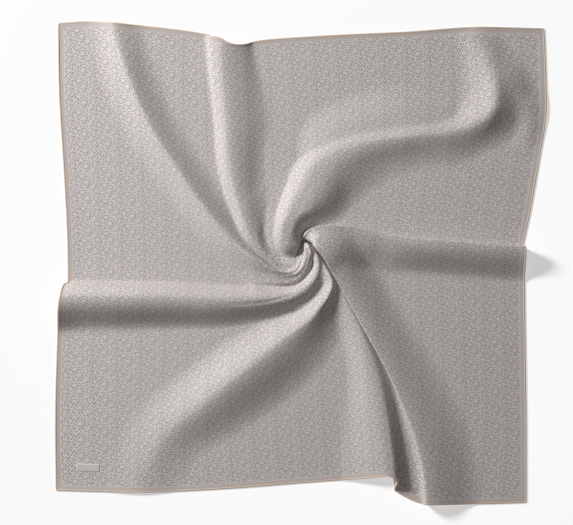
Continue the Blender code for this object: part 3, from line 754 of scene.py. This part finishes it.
# %% Small node helpers
class Graph:
    """Adds nodes to one material and links them as it goes."""

    def __init__(self, name):
        self.material = bpy.data.materials.new(name)
        self.material.use_nodes = True
        self.tree = self.material.node_tree
        self.shader = self.tree.nodes["Principled BSDF"]

    def node(self, kind, **settings):
        """Adds a node and sets its options."""
        made = self.tree.nodes.new(kind)
        for key, value in settings.items():
            setattr(made, key, value)
        return made

    def put(self, value, socket):
        """Links a socket, or sets a number or colour."""
        if isinstance(value, bpy.types.NodeSocket):
            self.tree.links.new(value, socket)
        else:
            socket.default_value = value

    def fill(self, made, values):
        """Puts values on a node's inputs by their names, and returns its first output."""
        for key, value in values.items():
            self.put(value, made.inputs[key])
        return made.outputs[0]

    def math(self, operation, *values):
        """One sum on numbers."""
        return self.fill(self.node("ShaderNodeMath", operation=operation), dict(enumerate(values)))

    def mix(self, share, first, second):
        """A share of the way from the first colour to the second."""
        made = self.node("ShaderNodeMix", data_type="RGBA")
        self.put(share, made.inputs["Factor"])
        for value, socket in ((first, made.inputs[6]), (second, made.inputs[7])):
            self.put(value if isinstance(value, bpy.types.NodeSocket) else (*value, 1.0), socket)
        return made.outputs[2]

    def soft_step(self, value, low, high):
        """0 below low, 1 past high, eased between."""
        made = self.node("ShaderNodeMapRange", interpolation_type="SMOOTHSTEP")
        return self.fill(made, {"Value": value, "From Min": low, "From Max": high})

    def noise(self, vector, scale, detail):
        """Soft noise, 0 to 1."""
        made = self.node("ShaderNodeTexNoise")
        return self.fill(made, {"Vector": vector, "Scale": scale, "Detail": detail})

    def bump(self, height, strength, depth):
        """Surface direction where a height dents it, at most depth metres deep."""
        made = self.node("ShaderNodeBump")
        return self.fill(made, {"Height": height, "Strength": strength, "Distance": depth})

    def on_object(self):
        """Place on the object, in metres."""
        return self.node("ShaderNodeTexCoord").outputs["Object"]

    def from_middle(self, uv_map, wide, tall):
        """Millimetres right of and above the middle of a flat piece."""
        split = self.node("ShaderNodeSeparateXYZ")
        self.put(self.node("ShaderNodeUVMap", uv_map=uv_map).outputs[0], split.inputs[0])
        return [self.math("MULTIPLY", self.math("SUBTRACT", share, 0.5), size)
                for share, size in zip(split.outputs, (wide, tall))]

    def from_edge(self, u, v, wide, tall):
        """Millimetres in from the nearest edge of a flat piece."""
        return self.math("MINIMUM", *(self.math("SUBTRACT", size / 2, self.math("ABSOLUTE", off))
                                      for off, size in ((u, wide), (v, tall))))

    def finish(self, **sockets):
        """Sets the shader's inputs and returns the material."""
        for key, value in sockets.items():
            self.put(value, self.shader.inputs[key.replace("_", " ")])
        return self.material


print("node helpers:", [name for name in vars(Graph) if not name.startswith("_")])

# %% The inks
GROUND = (0.645, 0.587, 0.562)
INKS = [
    # colour, and the share of cells that get it; the cells left over stay bare
    ((0.10, 0.093, 0.115), 0.26),  # slate
    ((0.155, 0.147, 0.235), 0.24),  # lilac
    ((0.142, 0.197, 0.14), 0.22),  # grey green
    ((0.35, 0.193, 0.197), 0.16),  # rose grey
]
FLECKS = [
    ((0.86, 0.79, 0.73), 0.45),  # cream
    ((0.64, 0.51, 0.50), 0.22),  # pale rose
    ((0.49, 0.53, 0.455), 0.22),  # pale green
]
CELL = (5.25, 3.75)  # one stroke's cell on the cloth, in millimetres
BLOCK = (8, 8)  # cells in one repeat
STROKE = (2.0, 0.66)  # half length and half width of a stroke
FLECK = (1.3, 0.65)
INK_EDGE = 0.12  # how far a stroke's edge fades, in and out
SLANT = math.radians(45)
JITTER = 2.8  # how far a stroke may sit from its cell's middle, both ways
TURNED = 0.3  # share of strokes that lie the other way from their zone
TINT = ((0.47, 0.50, 0.55), 0.16)  # colour and most share of the tint that comes and goes
BORDER = (0.56, 0.49, 0.455)  # the plain band along the edge
LINE = (0.64, 0.59, 0.565)  # the thin line inside it
LINE_FROM, LINE_TO, LINE_EDGE = 7.4, 9.0, 0.2  # in from the edge, and how far it fades
print("cells in a repeat:", BLOCK[0] * BLOCK[1])
print("share of them inked:", round(sum(share for _, share in INKS), 2))


# %% The printed design
def strokes(g, u, v, shift, seed, size):
    """One layer of strokes: where they are, and a number that picks each stroke's ink."""
    x = g.math("DIVIDE", g.math("ADD", u, shift), CELL[0])
    y = g.math("DIVIDE", v, CELL[1])
    x = g.math("ADD", x, g.math("MULTIPLY", g.math("FLOORED_MODULO", g.math("FLOOR", y), 2), 0.5))
    drop = g.math("MULTIPLY", g.math("FLOOR", g.math("DIVIDE", x, BLOCK[0])), BLOCK[1] / 2)
    y = g.math("ADD", y, drop)
    i, j = g.math("FLOOR", x), g.math("FLOOR", y)
    cell = g.fill(g.node("ShaderNodeCombineXYZ"), {
        "X": g.math("FLOORED_MODULO", i, BLOCK[0]), "Y": g.math("FLOORED_MODULO", j, BLOCK[1]),
        "Z": seed})
    pick = g.node("ShaderNodeTexWhiteNoise", noise_dimensions="3D")
    g.put(cell, pick.inputs["Vector"])
    wobble = g.node("ShaderNodeSeparateColor")
    g.put(pick.outputs["Color"], wobble.inputs[0])
    from_centre = []
    for place, length, chance in zip((x, y), CELL, wobble.outputs):
        inside = g.math("MULTIPLY", g.math("SUBTRACT", g.math("FRACT", place), 0.5), length)
        moved = g.math("MULTIPLY", g.math("SUBTRACT", chance, 0.5), JITTER)
        from_centre.append(g.math("ADD", inside, moved))
    lx, ly = from_centre
    zone = g.math("ADD", *(g.math("FLOOR", g.math("DIVIDE", number, 2)) for number in (i, j)))
    zone = g.math("ADD", zone, g.math("LESS_THAN", wobble.outputs[2], TURNED))
    way = g.math("SUBTRACT", g.math("MULTIPLY", g.math("FLOORED_MODULO", zone, 2), 2), 1)
    rise = g.math("MULTIPLY", way, math.sin(SLANT))
    level = math.cos(SLANT)
    along = g.math("ADD", g.math("MULTIPLY", lx, level), g.math("MULTIPLY", ly, rise))
    aside = g.math("SUBTRACT", g.math("MULTIPLY", ly, level), g.math("MULTIPLY", lx, rise))
    past = g.math("MAXIMUM", g.math("SUBTRACT", g.math("ABSOLUTE", along), size[0] - size[1]), 0)
    squares = [g.math("MULTIPLY", length, length) for length in (past, aside)]
    away = g.math("SQRT", g.math("ADD", *squares))
    there = g.soft_step(away, size[1] + INK_EDGE, size[1] - INK_EDGE)
    return there, pick.outputs["Value"]


def inked(g, colour, there, pick, inks):
    """The colour with one layer of strokes printed on it."""
    ramp = g.node("ShaderNodeValToRGB")
    ramp.color_ramp.interpolation = "CONSTANT"
    while len(ramp.color_ramp.elements) < len(inks):
        ramp.color_ramp.elements.new(1.0)
    while len(ramp.color_ramp.elements) > len(inks):
        ramp.color_ramp.elements.remove(ramp.color_ramp.elements[-1])
    start = 0.0
    for element, (ink, share) in zip(ramp.color_ramp.elements, inks):
        element.position, element.color = start, (*ink, 1.0)
        start += share
    g.put(pick, ramp.inputs[0])
    there = g.math("MULTIPLY", there, g.math("LESS_THAN", pick, sum(share for _, share in inks)))
    return g.mix(there, colour, ramp.outputs[0])


g = Graph("printed_silk")
u, v = g.from_middle("cut", CUT, CUT)
colour = inked(g, GROUND, *strokes(g, u, v, 0.0, 0, STROKE), INKS)
colour = inked(g, colour, *strokes(g, u, v, CELL[0] / 2, 1, FLECK), FLECKS)
waves = [g.math("COSINE", g.math("MULTIPLY", place, 2 * math.pi / (cells * size)))
         for place, cells, size in zip((u, v), BLOCK, CELL)]
tinted = g.math("MULTIPLY", g.math("ADD", g.math("MULTIPLY", *waves), 1.0), TINT[1] / 2)
colour = g.mix(tinted, colour, TINT[0])
edge = g.from_edge(u, v, CUT, CUT)
colour = g.mix(g.soft_step(edge, LINE_TO + LINE_EDGE, LINE_TO - LINE_EDGE), colour, LINE)
colour = g.mix(g.soft_step(edge, LINE_FROM + LINE_EDGE, LINE_FROM - LINE_EDGE), colour, BORDER)
print("nodes in the design:", len(g.tree.nodes))

# %% [markdown]
# Silk twill is a little uneven: thick threads run through it, and the weave leaves fine diagonal
# ridges. Both would be far too small to model, so one is a faint change of tone and gloss, and
# the other only bends the light.

# %% The weave
SLUB_SCALE, SLUB_DETAIL = 0.35, 3.0
SLUB = ((0.40, 0.37, 0.36), 0.10)  # tone of the thick threads, and their most share
TWILL_SCALE, TWILL_BEND = 0.9, 0.6
TWILL_STRENGTH, TWILL_DEPTH = 0.12, 0.0002
ROUGH, ROUGH_SPREAD = 0.52, 0.12  # roughness between the thick threads, and what they add

on_cut = g.fill(g.node("ShaderNodeCombineXYZ"), {"X": u, "Y": v})
slub = g.noise(on_cut, SLUB_SCALE, SLUB_DETAIL)
colour = g.mix(g.math("MULTIPLY", slub, SLUB[1]), colour, SLUB[0])
twill = g.node("ShaderNodeTexWave", wave_type="BANDS", bands_direction="DIAGONAL")
g.fill(twill, {"Vector": on_cut, "Scale": TWILL_SCALE, "Distortion": TWILL_BEND})
silk = g.finish(Base_Color=colour,
                Roughness=g.math("ADD", g.math("MULTIPLY", slub, ROUGH_SPREAD), ROUGH),
                Normal=g.bump(twill.outputs["Fac"], TWILL_STRENGTH, TWILL_DEPTH),
                Specular_IOR_Level=0.22, Sheen_Weight=0.06, Sheen_Roughness=0.4)
sheet.data.materials.append(silk)
print("nodes in the silk:", len(g.tree.nodes))

# %% [markdown]
# ## The hem
# Each edge is rolled to the face and sewn down by hand in a peach thread. The roll is plump
# between the stitches and pinched at them, and lies a little flat. A curve with a round bevel
# makes it: its radius can change from point to point, and it becomes a mesh once it is done.

# %% Peach silk
PEACH = ((0.58, 0.46, 0.37), (0.80, 0.67, 0.56))  # darkest and palest tone of the roll
WORN, WORN_SHARE = (0.54, 0.40, 0.32), 0.3
MOTTLE_SCALE, WEAR_SCALE = 900.0, 60.0  # spots to a metre

g = Graph("peach_roll")
mottle = g.noise(g.on_object(), MOTTLE_SCALE, 3.0)
wear = g.noise(g.on_object(), WEAR_SCALE, 1.0)
tone = g.mix(g.math("MULTIPLY", wear, WORN_SHARE), g.mix(mottle, *PEACH), WORN)
peach = g.finish(Base_Color=tone, Roughness=0.6, Normal=g.bump(mottle, 0.35, 0.0003),
                 Sheen_Weight=0.1)
print("nodes in the roll's silk:", len(g.tree.nodes))

# %% Rolled hems
STITCH_STEP = 6.5  # from one stitch to the next
STEPS_A_STITCH = 4  # points along the roll for each stitch
PINCH, PINCH_SHARP = 0.10, 3  # share of its radius that a stitch takes, and how suddenly
ROLL = HEM_ROLL / 2
edge_line, inner_line = skin[-1], skin[-3]


def side_path(side):
    """Middle line of one rolled edge, the way out of the cloth, the way on, and the run."""
    columns = side_columns(side)
    p = edge_line[columns]
    out = unit(p - inner_line[columns])
    run = run_along(p)
    at = np.linspace(0, run[-1], int(run[-1] / (STITCH_STEP / STEPS_A_STITCH)))
    p, out = (np.stack([np.interp(at, run, v[:, k]) for k in range(3)], 1) for v in (p, out))
    along = unit(np.gradient(p, axis=0))
    out = unit(out - along * (out * along).sum(1)[:, None])
    middle = p + out * (CLOTH_INSET - ROLL)
    middle[:, 2] = np.maximum(middle[:, 2], ROLL * ROLL_FLAT)
    return middle, out, along, at


def rolled(name, middle, at, material):
    """A plump roll along its middle line, as a mesh."""
    data = bpy.data.curves.new(name, "CURVE")
    data.dimensions = "3D"
    data.bevel_depth = ROLL * MM
    data.bevel_resolution = 3
    data.use_fill_caps = True
    line = data.splines.new("POLY")
    line.points.add(len(middle) - 1)
    for point, place, where in zip(line.points, middle, at):
        point.co = (*(place * MM), 1.0)
        stitch = 0.5 + 0.5 * math.cos(2 * math.pi * where / STITCH_STEP)
        point.radius = 1.0 - PINCH * stitch**PINCH_SHARP
    shaped = bpy.data.objects.new(name + "_line", data)
    bpy.context.scene.collection.objects.link(shaped)
    evaluated = shaped.evaluated_get(bpy.context.evaluated_depsgraph_get())
    mesh = bpy.data.meshes.new_from_object(evaluated)
    bpy.data.objects.remove(shaped, do_unlink=True)
    mesh.name = name
    around = len(mesh.vertices) // len(middle)
    for i, vert in enumerate(mesh.vertices):
        level = middle[min(i // around, len(middle) - 1)][2] * MM
        vert.co.z = level + (vert.co.z - level) * ROLL_FLAT
    mesh.materials.clear()
    return linked(name, mesh, material)


SIDES_NAMED = ("top", "left", "bottom", "right")
rolls, paths = [], []
for side, word in enumerate(SIDES_NAMED):
    middle, out, along, at = side_path(side)
    rolls.append(rolled("rolled_hem_" + word, middle, at, peach))
    paths.append((middle, out, along, at))
print("rolls:", [len(r.data.polygons) for r in rolls])

# %% [markdown]
# The stitches are small grains of thread that slant over the inner side of the roll. Each is a
# stretched sphere, which costs a few faces and reads as a stitch from a hand's breadth away.

# %% Hem stitches
THREAD = 0.28  # half width of the sewing thread
STITCH = 1.5  # half length of one stitch
BEAD_SIDES, BEAD_RINGS = 6, 5
SEAT_IN, SEAT_UP = 0.85, 0.4  # a stitch's seat on the roll, in shares of its radius
SLANT_IN, SLANT_ALONG, SLANT_DOWN = 0.9, 0.45, 0.5


def thread_bead(bm, middle, along, up, half_length, half_width=THREAD):
    """One stitch: a small grain of thread laid along a direction."""
    along = Vector(along).normalized()
    aside = Vector(up).cross(along).normalized()
    turn = Matrix((along, aside, along.cross(aside))).transposed().to_4x4()
    size = Matrix.Diagonal((half_length * MM, half_width * MM, half_width * MM, 1.0))
    bmesh.ops.create_uvsphere(bm, u_segments=BEAD_SIDES, v_segments=BEAD_RINGS, radius=1.0,
                              matrix=Matrix.Translation(Vector(middle) * MM) @ turn @ size)


THREAD_TONES, TWIST_SCALE = ((0.66, 0.47, 0.36), (0.88, 0.70, 0.56)), 2500.0
g = Graph("sewing_thread")
twist = g.noise(g.on_object(), TWIST_SCALE, 1.0)
thread = g.finish(Base_Color=g.mix(twist, *THREAD_TONES), Roughness=0.5, Sheen_Weight=0.1)

stitchings = []
for word, (middle, out, along, at) in zip(SIDES_NAMED, paths):
    bm = bmesh.new()
    for where in np.arange(STITCH_STEP, at[-1] - STITCH_STEP / 2, STITCH_STEP):
        i = int(np.searchsorted(at, where))
        up = np.cross(out[i], along[i])
        up *= np.sign(up[2]) or 1.0
        place = middle[i] - out[i] * ROLL * SEAT_IN + up * ROLL * ROLL_FLAT * SEAT_UP
        way = -out[i] * SLANT_IN + along[i] * SLANT_ALONG - up * SLANT_DOWN
        thread_bead(bm, place, way, up, STITCH)
    stitchings.append(finished("hem_stitches_" + word, bm, thread))
bead_faces = BEAD_SIDES * BEAD_RINGS
print("stitches:", [len(s.data.polygons) // bead_faces for s in stitchings])

# %% [markdown]
# ## The label
# A woven tape, left bare, lies on the lower left panel and is sewn down at both ends. It is a
# small grid bent to the cloth under it, given its thickness, with a raised selvedge round it.

# %% Label
LABEL_AT, LABEL_TURN = (-372.0, -358.2), math.radians(-1.5)
LABEL_WIDE, LABEL_TALL = 39.0, 12.5
LABEL_GRID = (39, 13)  # faces across it, each way
TAPE, TAPE_AIR = 0.25, 0.1  # its thickness, and the air between it and the cloth
RIM_IN, RIM_RISE = 0.9, 0.12  # middle line of the raised selvedge, and its height


def on_cloth(x, y, above):
    """A point over the cloth at a place of the label."""
    px = LABEL_AT[0] + x * math.cos(LABEL_TURN) - y * math.sin(LABEL_TURN)
    py = LABEL_AT[1] + x * math.sin(LABEL_TURN) + y * math.cos(LABEL_TURN)
    z = lift(math.atan2(py - EYE_Y, px - EYE_X), math.hypot(px - EYE_X, py - EYE_Y))[0]
    return np.array((px, py, max(float(z), LOWEST) + SHEET + above))


bm = bmesh.new()
bmesh.ops.create_grid(bm, x_segments=LABEL_GRID[0], y_segments=LABEL_GRID[1], size=0.5)
uv = bm.loops.layers.uv.new("tape")
for face in bm.faces:
    for loop in face.loops:
        loop[uv].uv = (loop.vert.co.x + 0.5, loop.vert.co.y + 0.5)
for vert in bm.verts:
    x, y = vert.co.x * LABEL_WIDE, vert.co.y * LABEL_TALL
    rim = min(LABEL_WIDE / 2 - abs(x), LABEL_TALL / 2 - abs(y))
    raised = RIM_RISE * float(flank(abs(rim - RIM_IN) / RIM_IN, 1.0))
    vert.co = Vector(on_cloth(x, y, TAPE_AIR + raised) * MM)
label = finished("bare_label", bm)
walled(label, TAPE)

TAPE_TONES, WEAVE_SCALE = ((0.58, 0.545, 0.53), (0.64, 0.60, 0.585)), 1500.0
SELVEDGE, SELVEDGE_FROM, SELVEDGE_TO = (0.76, 0.72, 0.695), 1.7, 1.3  # it fades in over these
g = Graph("woven_tape")
weave = g.noise(g.on_object(), WEAVE_SCALE, 1.0)
rim = g.from_edge(*g.from_middle("tape", LABEL_WIDE, LABEL_TALL), LABEL_WIDE, LABEL_TALL)
edging = g.soft_step(rim, SELVEDGE_FROM, SELVEDGE_TO)
tone = g.mix(edging, g.mix(weave, *TAPE_TONES), SELVEDGE)
tape = g.finish(Base_Color=tone, Roughness=0.6, Normal=g.bump(weave, 0.3, 0.0002))
label.data.materials.append(tape)

# %% Label stitches
END_STITCHES, END_IN = 5, 0.9  # stitches at each end, and how far in they sit
END_MARGIN = 1.5  # from the tape's long edges to the first and last
END_ABOVE = 0.85  # height of the thread over the cloth
END_HALF, END_THREAD = 0.9, 0.2  # half length and half width of one

bm = bmesh.new()
for end in (-1, 1):
    for y in np.linspace(END_MARGIN - LABEL_TALL / 2, LABEL_TALL / 2 - END_MARGIN, END_STITCHES):
        x = end * (LABEL_WIDE / 2 - END_IN)
        middle = on_cloth(x, y, END_ABOVE)
        way = on_cloth(x, y + 1, END_ABOVE) - middle
        thread_bead(bm, middle, way, (0, 0, 1), END_HALF, END_THREAD)
label_stitches = finished("label_stitches", bm, thread)
print("label:", len(label.data.polygons), "faces,", 2 * END_STITCHES, "stitches")

# %% [markdown]
# ## Floor and lamp
# The floor is pale and glows a little, and its tone is darker toward the lamp, so that it looks
# even and nearly white all over. One soft lamp stands low on the upper left: the folds turn their
# lit flanks to it, and their far flanks fall into shade. The sky fills the shade a little. A
# stronger sky would be simpler and would wash the folds out.

# %% Floor and lamp
FLOOR, FLOOR_DROP = 6.0, 0.0002  # metres across, and how far it lies below the cloth's level
LAMP_BEARING, LAMP_HEIGHT = math.radians(150), math.radians(29)
TONE_REACH = 0.6  # metres from the middle where the floor's tone stops changing
TONE_FAR, TONE_NEAR = 0.98, 0.50  # the floor's tone, away from the lamp and toward it
FLOOR_GLOW = 0.43

bm = bmesh.new()
bmesh.ops.create_grid(bm, x_segments=1, y_segments=1, size=FLOOR / 2)
floor = finished("floor", bm, smooth=False)
floor.location.z = -FLOOR_DROP
g = Graph("pale_floor")
where = g.node("ShaderNodeSeparateXYZ")
g.put(g.on_object(), where.inputs[0])
toward_lamp = g.math("ADD", g.math("MULTIPLY", where.outputs[0], math.cos(LAMP_BEARING)),
                     g.math("MULTIPLY", where.outputs[1], math.sin(LAMP_BEARING)))
shade = g.fill(g.node("ShaderNodeMapRange"), {
    "Value": toward_lamp, "From Min": -TONE_REACH, "From Max": TONE_REACH,
    "To Min": TONE_FAR, "To Max": TONE_NEAR})
grey = g.fill(g.node("ShaderNodeCombineColor"), dict.fromkeys(range(3), shade))
floor.data.materials.append(g.finish(
    Base_Color=grey, Roughness=0.9, Specular_IOR_Level=0.0,
    Emission_Color=(1.0, 1.0, 1.0, 1.0), Emission_Strength=FLOOR_GLOW))
floor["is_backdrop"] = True

LAMP_AWAY, LAMP_SIZE, LAMP_POWER = 3.4, 0.75, 136.0
lamp_data = bpy.data.lights.new("lamp", "AREA")
lamp_data.size = LAMP_SIZE
lamp_data.energy = LAMP_POWER
lamp = bpy.data.objects.new("lamp", lamp_data)
toward = Vector((math.cos(LAMP_HEIGHT) * math.cos(LAMP_BEARING),
                 math.cos(LAMP_HEIGHT) * math.sin(LAMP_BEARING), math.sin(LAMP_HEIGHT)))
lamp.location = toward * LAMP_AWAY
lamp.rotation_euler = (-toward).to_track_quat("-Z", "Y").to_euler()
bpy.context.scene.collection.objects.link(lamp)

SKY = 0.155
world = bpy.data.worlds.new("sky")
world.use_nodes = True
backdrop = world.node_tree.nodes["Background"].inputs
backdrop["Color"].default_value = (1.0, 1.0, 1.0, 1.0)
backdrop["Strength"].default_value = SKY
bpy.context.scene.world = world
bpy.context.scene.view_settings.view_transform = "Standard"
print("lamp and floor placed")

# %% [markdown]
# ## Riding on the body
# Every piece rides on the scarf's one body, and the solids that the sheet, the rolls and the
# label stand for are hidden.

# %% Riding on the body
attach(sheet, "root")
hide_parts("cloth")
for word, roll, stitching in zip(SIDES_NAMED, rolls, stitchings):
    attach(roll, "root")
    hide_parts("hem_" + word)
    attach(stitching, "root")
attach(label, "root")
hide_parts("label")
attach(label_stitches, "root")

# %% The size, beside the solids' size
low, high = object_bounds()
past_solids = (high - low) - (cad_high - cad_low)
print("visual less solids in mm:", [round(float(c) * 1000, 1) for c in past_solids])
